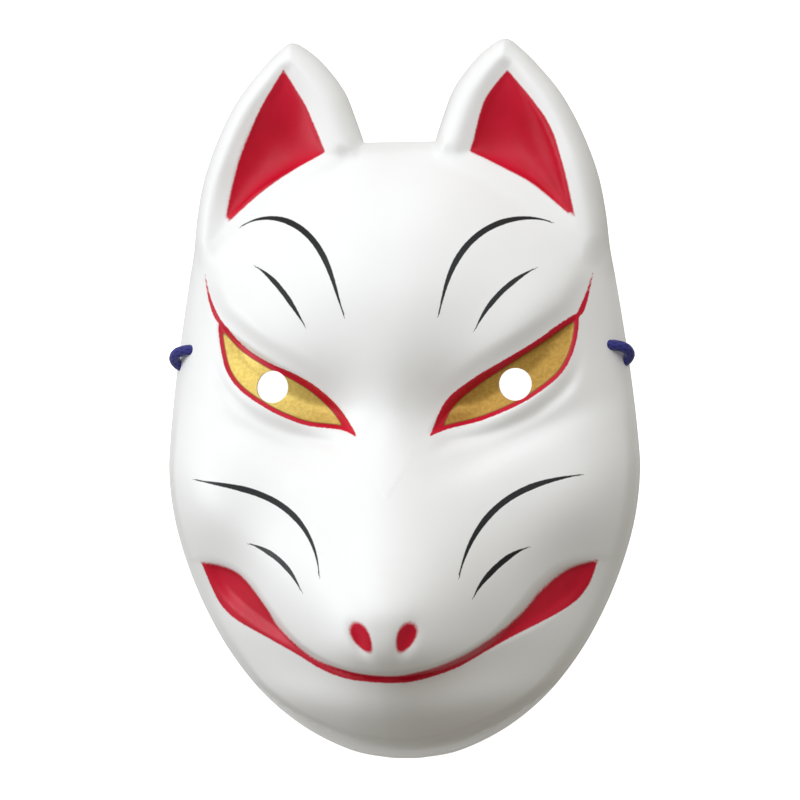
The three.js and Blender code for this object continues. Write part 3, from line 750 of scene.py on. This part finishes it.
def make_shell():
    rim = evenly(OUTLINE, RIM_STEP)
    holes = eye_rings()
    grid = inner_grid()
    foot = evenly(inner_ring(grid, rim), FOOT_STEP)
    places, faces, start = [], [], 0
    for flat, z, tris in (front_layer(rim, holes), back_layer(foot, holes, grid), ground_layer(rim, foot)):
        places.append(np.column_stack([flat, z]))
        faces += (tris + start).tolist()
        start += len(flat)
    # Upright bands join the layers: round the rim, then inside each eye hole.
    bands = [(rim, np.full(len(rim), RIM_TOP), np.zeros(len(rim)))]
    for hole in holes:
        x, y = hole.T
        bands.append((hole, outer(x, y), np.maximum(sample(grid, x, y), LEAST)))
    for ring, top, bottom in bands:
        n = len(ring)
        places += [np.column_stack([ring, top]), np.column_stack([ring, bottom])]
        for i in range(n):
            j = (i + 1) % n
            faces.append((start + i, start + n + i, start + n + j, start + j))
        start += 2 * n

    mesh = bpy.data.meshes.new("shell")
    mesh.from_pydata(np.vstack(places) * SCALE, [], faces)
    build = bmesh.new()
    build.from_mesh(mesh)
    bmesh.ops.remove_doubles(build, verts=build.verts, dist=1e-7)
    bmesh.ops.recalc_face_normals(build, faces=build.faces)
    build.to_mesh(mesh)
    build.free()
    piece = bpy.data.objects.new("painted_shell", mesh)
    bpy.context.scene.collection.objects.link(piece)
    return piece


# The cord's holes: their radius, their place in y and z, and how far out their middles lie.
CORD_HOLE_RADIUS = 2.1
CORD_HOLE = (17, 9.2)
CORD_HOLE_OUT = PATTERN[0] * 0.45
CORD_HOLE_SIDES = 48
# The low arch in the rim where the cord passes under it.
NOTCH_HEIGHT, NOTCH_WIDTH, NOTCH_CENTRE = 5.0, 14.0, 11.6
ARCH_SIDES = 256
# Edges that turn more sharply than this stay crisp, in degrees.
CRISP_ANGLE = 48


def rod(radius, length, sides, place):
    """A round bar that lies across the mask, to cut with."""
    build = bmesh.new()
    matrix = Matrix.Translation(Vector(place) * MM) @ Matrix.Rotation(math.pi / 2, 4, "Y")
    bmesh.ops.create_cone(
        build, cap_ends=True, segments=sides, radius1=radius * MM, radius2=radius * MM,
        depth=length * MM, matrix=matrix,
    )
    mesh = bpy.data.meshes.new("cutter")
    build.to_mesh(mesh)
    build.free()
    cutter = bpy.data.objects.new("cutter", mesh)
    bpy.context.scene.collection.objects.link(cutter)
    return cutter


def cut(piece, cutters):
    """Takes the cutters out of a piece and removes them."""
    for cutter in cutters:
        modifier = piece.modifiers.new("cut", "BOOLEAN")
        modifier.operation = "DIFFERENCE"
        modifier.solver = "MANIFOLD"
        modifier.object = cutter
    bpy.context.view_layer.update()
    evaluated = piece.evaluated_get(bpy.context.evaluated_depsgraph_get())
    mesh = bpy.data.meshes.new_from_object(evaluated)
    piece.modifiers.clear()
    piece.data = mesh
    for cutter in cutters:
        bpy.data.objects.remove(cutter)


# The paint, in pattern millimetres. The two sides are painted by hand, so they differ a little.
EAR_PAINT = (
    [(-37.7, 110.1), (-30.2, 97.5), (-23.6, 82.2)],
    [(-23.6, 82.2), (-33.9, 76.7), (-45.3, 68.8), (-56.3, 59.1)],
    [(-56.3, 59.1), (-55.1, 69.4), (-52.3, 80.7), (-45.9, 96.4), (-37.7, 110.1)],
), (
    [(36.9, 108.6), (29, 97.9), (24.8, 81.3)],
    [(24.8, 81.3), (44.2, 71.7), (59, 59.2)],
    [(59, 59.2), (55.1, 76.7), (49.8, 91.8), (36.9, 108.6)],
)
UPPER_PAINT = (
    [(-64.3, 41.9), (-62.1, 33.5), (-58.9, 27), (-54.4, 22.6), (-49, 17.3), (-40.4, 12.2), (-32.3, 8.8),
     (-24.5, 4.2), (-16.8, -3.4), (-10.5, -12.4)],
    [(64.6, 40.7), (62.4, 32.4), (60.2, 27.2), (56.5, 25.5), (46.4, 18.3), (36.6, 12.3), (26.2, 6.2),
     (17.2, -1.1), (12.4, -12.3)],
)
LOWER_PAINT = (
    [(-58.9, 25.4), (-58.2, 18.8), (-55.8, 10.1), (-51, 3.8), (-42.9, -1.8), (-35.1, -5.8), (-27.4, -8.5),
     (-16.7, -9.9), (-10.5, -12.4)],
    [(60.2, 27.2), (59.9, 21.3), (58, 13.8), (53.9, 6.9), (46.3, 0.8), (38.9, -3.3), (28.5, -7.4),
     (18.2, -9.9), (12.4, -12.3)],
)
MOUTH_PAINT_TOP = [
    (-66.4, -53.4), (-58.4, -54.5), (-52, -56.9), (-47.4, -61.4), (-41.5, -68.5), (-38.9, -73.4),
    (-31.8, -79.6), (-24.6, -84.3), (-15.1, -86.8), (-6.9, -88.1), (2.6, -88.4), (8.6, -87.2),
    (17.8, -84.5), (26.5, -80.5), (35.6, -74.5), (42, -68.8), (46.8, -63.1), (52.6, -58.1), (58.1, -55.1),
    (65.4, -53.3),
]
MOUTH_PAINT_FOOT = [
    (-66.4, -53.4), (-63.2, -62.2), (-59.9, -68.2), (-53.9, -72.9), (-42.5, -77.9), (-32.1, -82.7),
    (-23.6, -87.2), (-15.7, -89.8), (-7.6, -90.8), (1.9, -91.1), (9.2, -90.3), (20.4, -86.9), (30.4, -81.5),
    (39.2, -76.9), (48.4, -72.6), (54.4, -69.4), (59.2, -65.8), (62.9, -60.4), (65.4, -53.3),
]
# Each nostril, an egg that is wider above: its centre, half width, half length and lean in degrees.
NOSTRIL_PAINT = ((-6.5, -74.9, 2.95, 5.4, 30), (7.3, -75, 2.75, 5.2, -25))
NOSTRIL_SWELL = 0.24
# Brush strokes: points that each runs close to, and the half width at the thickest place.
STROKES = (
    ([(-51.1, 58), (-40.8, 60.2), (-33, 57.9), (-27, 53.6), (-21.6, 46.3), (-18.1, 38.6), (-14.4, 27.4)], 1),
    ([(-44.8, 43.8), (-38.5, 38.9), (-33.5, 33.1), (-27.7, 24.3)], 0.85),
    ([(51, 57.7), (41.8, 58.8), (33.8, 56.6), (26, 50.8), (20.8, 42.7), (16.3, 27.3)], 1),
    ([(46.2, 41.9), (39.3, 37.3), (34.1, 32.2), (27.9, 22.4)], 0.85),
    ([(-65.8, -25.9), (-53.3, -27.8), (-42.2, -31), (-33.8, -35.1), (-28, -40.1), (-25.2, -44.5),
      (-21.4, -55.6)], 1),
    ([(-46.5, -46.7), (-40.4, -49), (-34, -53.3), (-28.1, -60.9)], 0.9),
    ([(60.6, -25.2), (53.9, -26), (46.3, -28.5), (39.1, -31.9), (32.9, -36.3), (28.9, -41.5), (25.8, -48.3),
      (23.2, -56.1)], 1),
    ([(43.5, -48.4), (39, -50.4), (34.2, -54.2), (30.5, -58.2), (27.7, -62.9)], 0.9),
)
# How the tail of an eye's line swells and then runs out past the outer corner, along the lid.
TAIL_THIN, TAIL_THICK, TAIL_SWELLS, TAIL_FADES, TAIL_FADE, TAIL_END = 0.2, 0.85, 0.2, 0.2, 0.2, 0.45
# The width of an eye's line above and below, from the outer to the inner corner.
UPPER_LINE = (1.6, 2.7, 0.5, 0.35)
LOWER_LINE = (1.35, 1.35, 0, 1)
# The mouth's upper edge is brushed out this much more softly than its lower one.
MOUTH_SOFT = 2.2
# A stroke swells over its first share and thins over its last one, to a share of its half width.
STROKE_SWELLS, STROKE_ENDS, STROKE_BLUNT, STROKE_POWER = 0.3, 0.36, 0.14, 0.75
# The ear's hollow is red right up to this far from its brink.
POCKET_BARE = 0.3
# The depth that stands for no paint, and how far outside an eye its gold starts at the least.
FAR = -20.0
GOLD_OUTSIDE = 0.5


def swept(points, count=48):
    """A brush stroke's line: the smoothest sweep that runs close to its points."""
    at = np.array(points, float)
    run = np.concatenate([[0], np.cumsum(np.hypot(*np.diff(at, axis=0).T))])
    sweep = np.polyfit(run / run[-1], at, min(4, len(at) - 1))
    t = np.linspace(0, 1, count)
    return np.stack([np.polyval(sweep[:, k], t) for k in (0, 1)], -1)


def eye_fields(x, y, upper, lower):
    """How deep points lie in one eye's red line and in its gold."""
    lid, low = curve(upper), curve(lower)
    corner = np.argmin(np.hypot(*(lid - low[0]).T))
    inside = depth_in(x, y, np.vstack([lid[corner:], low[-2:0:-1]]))
    lid_far, _, lid_along = nearest(x, y, lid)
    low_far, _, low_along = nearest(x, y, low)
    fade = 1 - smooth((lid_along - TAIL_FADES) / TAIL_FADE)
    tail = TAIL_THIN + (TAIL_THICK - TAIL_THIN) * smooth(lid_along / TAIL_SWELLS) * fade
    line = np.where(lid_along < TAIL_END, tail - lid_far, FAR)
    room = []
    for far, along, (thin, thick, start, over) in (
        (lid_far, lid_along, UPPER_LINE), (low_far, low_along, LOWER_LINE),
    ):
        room.append(far - thin - (thick - thin) * smooth((along - start) / over))
    gold = np.where(inside > 0, np.minimum(*room), -GOLD_OUTSIDE - np.abs(inside))
    return np.maximum(inside, line), gold


def paint_fields(x, y):
    """For each painted shape, how deep a point lies inside it, in millimetres."""
    ears = [depth_in(x, y, np.vstack([curve(side)[:-1] for side in ear])) for ear in EAR_PAINT]
    pocket = depth_in(np.abs(x), y, POCKET_RING) - POCKET_BARE
    fields = {"red_ear": np.maximum(np.maximum(*ears), pocket)}
    eyes = [eye_fields(x, y, upper, lower) for upper, lower in zip(UPPER_PAINT, LOWER_PAINT)]
    fields["red_eye"], fields["gold"] = (np.maximum(left, right) for left, right in zip(*eyes))
    top, foot = curve(MOUTH_PAINT_TOP), curve(MOUTH_PAINT_FOOT)
    edge = np.minimum(nearest(x, y, top)[0] / MOUTH_SOFT, nearest(x, y, foot)[0])
    fields["red_mouth"] = np.where(is_inside(x, y, np.vstack([top, foot[-2:0:-1]])), edge, -edge)
    nostrils = []
    for cx, cy, half_width, half_length, lean in NOSTRIL_PAINT:
        c, s = math.cos(math.radians(lean)), math.sin(math.radians(lean))
        along = (-(x - cx) * s + (y - cy) * c) / half_length
        across = ((x - cx) * c + (y - cy) * s) / (half_width * (1 + NOSTRIL_SWELL * np.clip(along, -1, 1)))
        nostrils.append((1 - np.hypot(across, along)) * half_width)
    fields["red_nostril"] = np.maximum(*nostrils)
    offset, width, near = np.full(x.shape, FAR), np.zeros(x.shape), np.full(x.shape, FAR)
    for points, half in STROKES:
        far, side, along = nearest(x, y, swept(points))
        share = np.minimum(along / STROKE_SWELLS, (1 - along) / STROKE_ENDS)
        taper = half * np.clip(share, STROKE_BLUNT, 1) ** STROKE_POWER
        closer = taper - far > near
        near = np.where(closer, taper - far, near)
        offset = np.where(closer, far * side, offset)
        width = np.where(closer, taper, width)
    fields["ink_offset"], fields["ink_width"], fields["ink"] = offset, width, near
    return fields


# How far below the outer surface a point may lie and still be painted, and how far round an eye hole,
# as a share of its radius, the gold runs down its wall.
PAINT_DEEP = 0.35
WALL_SHARE = 1.01


def add_paint(piece):
    """Stores the depth of each point in each painted shape on the mesh."""
    mesh = piece.data
    places = np.zeros(len(mesh.vertices) * 3)
    mesh.vertices.foreach_get("co", places)
    x, y, z = (places.reshape(-1, 3) / SCALE).T
    front = z > outer(x, y) - PAINT_DEEP
    hole_wall = np.hypot(np.abs(x) - EYE_HOLE[0], y - EYE_HOLE[1]) < EYE_HOLE_RADIUS * WALL_SHARE
    for name, values in paint_fields(x, y).items():
        painted = front | hole_wall if name == "gold" else front
        bare = 0 if name == "ink_width" else FAR
        values = np.where(painted, np.maximum(values, FAR), bare)
        mesh.attributes.new(name, "FLOAT", "POINT").data.foreach_set("value", values.astype(np.float32))


# The colours of the paint, each between two shades.
WHITE_SHADES = ((0.866, 0.866, 0.86), (0.884, 0.884, 0.879))
RED_SHADES = ((0.54, 0.003, 0.022), (0.62, 0.006, 0.032))
# The left eye's gold is painted lighter, as painted light, and the right eye's darker, as painted shade.
GOLD_LEFT_PAINTED_LIGHT = ((0.68, 0.49, 0.11), (0.8, 0.61, 0.17))
GOLD_RIGHT_PAINTED_SHADE = ((0.44, 0.25, 0.045), (0.54, 0.33, 0.07))
GOLD_RIM = (0.2, 0.11, 0.03)
INK = (0.012, 0.012, 0.014)
# The scales of the noises that vary the paint: broad clouds, fine grain, and the brush's trembling.
CLOUD_SCALE, RED_SCALE, GRAIN_SCALE, WOBBLE_SCALE, FLECK_SCALE = 28, 60, 420, 900, 900
# How soft the edge of each red shape is, in millimetres, with those of the gold and the ink.
RED_EDGES = (("red_ear", 0.35), ("red_mouth", 0.3), ("red_nostril", 0.5), ("red_eye", 0.2))
GOLD_EDGE, INK_EDGE = 0.15, 0.14
# How much the edges of the red, the gold and the ink tremble, in millimetres.
RED_TREMBLE, GOLD_TREMBLE, INK_TREMBLE = 0.4, 0.5, 0.2
# The ink is only looked for this near to its strokes, and the gold is brown this near to its edge.
INK_NEAR = (-1.4, -0.9)
GOLD_BROWN = 0.5
# The gold changes from the left eye's, painted lighter as painted light, to the right eye's, painted darker
# as painted shade, across this half width.
GOLD_TURNS = 5 * MM
GOLD_METAL = 0.4
WHITE_GLOSS, PAINT_GLOSS = 0.5, 0.28
ROUGH_LEAST, ROUGH_MOST = 0.38, 0.46
SHELL_BUMP, SHELL_BUMP_HEIGHT, GRAIN_SHARE = 0.1, 0.0004, 0.4


def varied(tree, place, scale, detail, shades):
    """A colour that drifts between two shades."""
    return mix_colour(tree, ramp(tree, noise(tree, place, scale, detail), 0.3, 0.7), *shades)


def shell_material():
    material, tree, shader = new_material("painted_shell")
    place = put(tree, "TexCoord").outputs["Object"]
    wobble = math_node(tree, "SUBTRACT", noise(tree, place, WOBBLE_SCALE, 2), 0.5)

    def trembling(depth, tremble, soft):
        moved = math_node(tree, "ADD", depth, math_node(tree, "MULTIPLY", wobble, tremble))
        return ramp(tree, moved, -soft, soft)

    red_share = None
    for name, soft in RED_EDGES:
        share = trembling(field(tree, name), RED_TREMBLE, soft)
        red_share = share if red_share is None else math_node(tree, "MAXIMUM", red_share, share)
    white = varied(tree, place, CLOUD_SCALE, 3, WHITE_SHADES)
    red = varied(tree, place, RED_SCALE, 3, RED_SHADES)
    colour = mix_colour(tree, red_share, white, red)

    # Painted light and shade: the gold is lighter in the left eye and darker in the right eye.
    side = ramp(tree, put(tree, "SeparateXYZ", Vector=place).outputs[0], -GOLD_TURNS, GOLD_TURNS)
    painted_light_gold = varied(tree, place, FLECK_SCALE, 4, GOLD_LEFT_PAINTED_LIGHT)
    painted_shade_gold = varied(tree, place, FLECK_SCALE, 4, GOLD_RIGHT_PAINTED_SHADE)
    gold = mix_colour(tree, side, painted_light_gold, painted_shade_gold)
    gold = mix_colour(tree, ramp(tree, field(tree, "gold"), 0.0, GOLD_BROWN), GOLD_RIM, gold)
    gold_share = trembling(field(tree, "gold"), GOLD_TREMBLE, GOLD_EDGE)
    colour = mix_colour(tree, gold_share, colour, gold)

    across = math_node(tree, "ABSOLUTE", field(tree, "ink_offset"))
    into = math_node(tree, "SUBTRACT", field(tree, "ink_width"), across)
    near = ramp(tree, field(tree, "ink"), *INK_NEAR)
    ink_share = math_node(tree, "MULTIPLY", trembling(into, INK_TREMBLE, INK_EDGE), near)
    tree.links.new(mix_colour(tree, ink_share, colour, INK), shader.inputs["Base Color"])

    grain = noise(tree, place, GRAIN_SCALE, 3)
    painted = math_node(tree, "MAXIMUM", red_share, ink_share)
    for name, value in (
        ("Metallic", math_node(tree, "MULTIPLY", gold_share, GOLD_METAL)),
        ("Specular IOR Level", ramp(tree, painted, 0, 1, WHITE_GLOSS, PAINT_GLOSS)),
        ("Roughness", ramp(tree, grain, 0.25, 0.75, ROUGH_LEAST, ROUGH_MOST)),
    ):
        tree.links.new(value, shader.inputs[name])
    relief = math_node(tree, "MULTIPLY", grain, GRAIN_SHARE)
    relief = math_node(tree, "ADD", relief, noise(tree, place, CLOUD_SCALE, 3))
    bump = put(tree, "Bump", Strength=SHELL_BUMP, Distance=SHELL_BUMP_HEIGHT, Height=relief)
    tree.links.new(bump.outputs[0], shader.inputs["Normal"])
    return material


def finish_shell():
    piece = make_shell()
    holes = [
        rod(CORD_HOLE_RADIUS, PATTERN[0] / 4, CORD_HOLE_SIDES, (side * CORD_HOLE_OUT, *CORD_HOLE))
        for side in (-1, 1)
    ]
    radius = (NOTCH_HEIGHT ** 2 + (NOTCH_WIDTH / 2) ** 2) / (2 * NOTCH_HEIGHT)
    arch = rod(radius, 2 * PATTERN[0], ARCH_SIDES, (0, NOTCH_CENTRE, NOTCH_HEIGHT - radius))
    cut(piece, [*holes, arch])
    piece.data.shade_smooth()
    piece.data.set_sharp_from_angle(angle=math.radians(CRISP_ANGLE))
    add_paint(piece)
    piece.data.materials.clear()
    piece.data.materials.append(shell_material())
    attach(piece, "root")
    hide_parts("mask_shell")


# The floor: half its width, its grey and how strongly it shines by itself, which makes it pure white.
FLOOR_HALF = 3.0
FLOOR_GREY = 0.9
FLOOR_ROUGHNESS = 0.9
FLOOR_GLOW = 0.85


def make_floor():
    mesh = bpy.data.meshes.new("floor")
    corners = [(x * FLOOR_HALF, y * FLOOR_HALF, 0) for x, y in ((-1, -1), (1, -1), (1, 1), (-1, 1))]
    mesh.from_pydata(corners, [], [(0, 1, 2, 3)])
    floor = bpy.data.objects.new("floor", mesh)
    bpy.context.scene.collection.objects.link(floor)
    material, tree, shader = new_material("floor")
    shader.inputs["Base Color"].default_value = (FLOOR_GREY, FLOOR_GREY, FLOOR_GREY, 1)
    shader.inputs["Roughness"].default_value = FLOOR_ROUGHNESS
    shader.inputs["Emission Color"].default_value = (1, 1, 1, 1)
    shader.inputs["Emission Strength"].default_value = FLOOR_GLOW
    mesh.materials.append(material)
    floor.visible_diffuse = False
    floor.visible_glossy = False


# The studio's lights: azimuth and elevation in degrees, and power in watts.
LIGHTS = ((90, 65, 6.2), (135, 40, 5.9), (45, 40, 4.2), (180, 12, 12.4), (90, 12, 5.3))
LIGHT_COLOUR = (0.9, 0.94, 1)
LIGHT_DISTANCE = 1.6
LIGHT_SIZE = 0.9
# The sky: its colour and strength, and its shares at the chin's side and at the ears' side.
SKY_COLOUR = (1, 0.945, 0.83)
SKY_STRENGTH = 0.352
SKY_SHARES = (0.72, 1.28)


def make_light():
    """Soft square lights all round, and a sky that is darker on the chin's side."""
    for azimuth, elevation, power in LIGHTS:
        a, e = math.radians(azimuth), math.radians(elevation)
        data = bpy.data.lights.new("softbox", "AREA")
        data.shape = "SQUARE"
        data.size = LIGHT_SIZE
        data.energy = power
        data.color = LIGHT_COLOUR
        light = bpy.data.objects.new("softbox", data)
        bpy.context.scene.collection.objects.link(light)
        place = Vector((math.cos(a) * math.cos(e), math.sin(a) * math.cos(e), math.sin(e)))
        light.location = place * LIGHT_DISTANCE
        light.rotation_euler = place.to_track_quat("Z", "Y").to_euler()
    world = bpy.data.worlds.new("world")
    world.use_nodes = True
    tree = world.node_tree
    towards_ears = put(tree, "SeparateXYZ", Vector=put(tree, "TexCoord").outputs["Generated"]).outputs[1]
    low, high = (share * SKY_STRENGTH for share in SKY_SHARES)
    background = tree.nodes["Background"]
    background.inputs["Color"].default_value = (*SKY_COLOUR, 1)
    tree.links.new(ramp(tree, towards_ears, -1, 1, low, high), background.inputs["Strength"])
    bpy.context.scene.world = world
    bpy.context.scene.view_settings.view_transform = "Standard"


make_camera()
blue = cord_material()
cord, cord_line, cord_length = make_cord(blue)
knots = make_knots(blue)
finish_shell()
make_floor()
make_light()
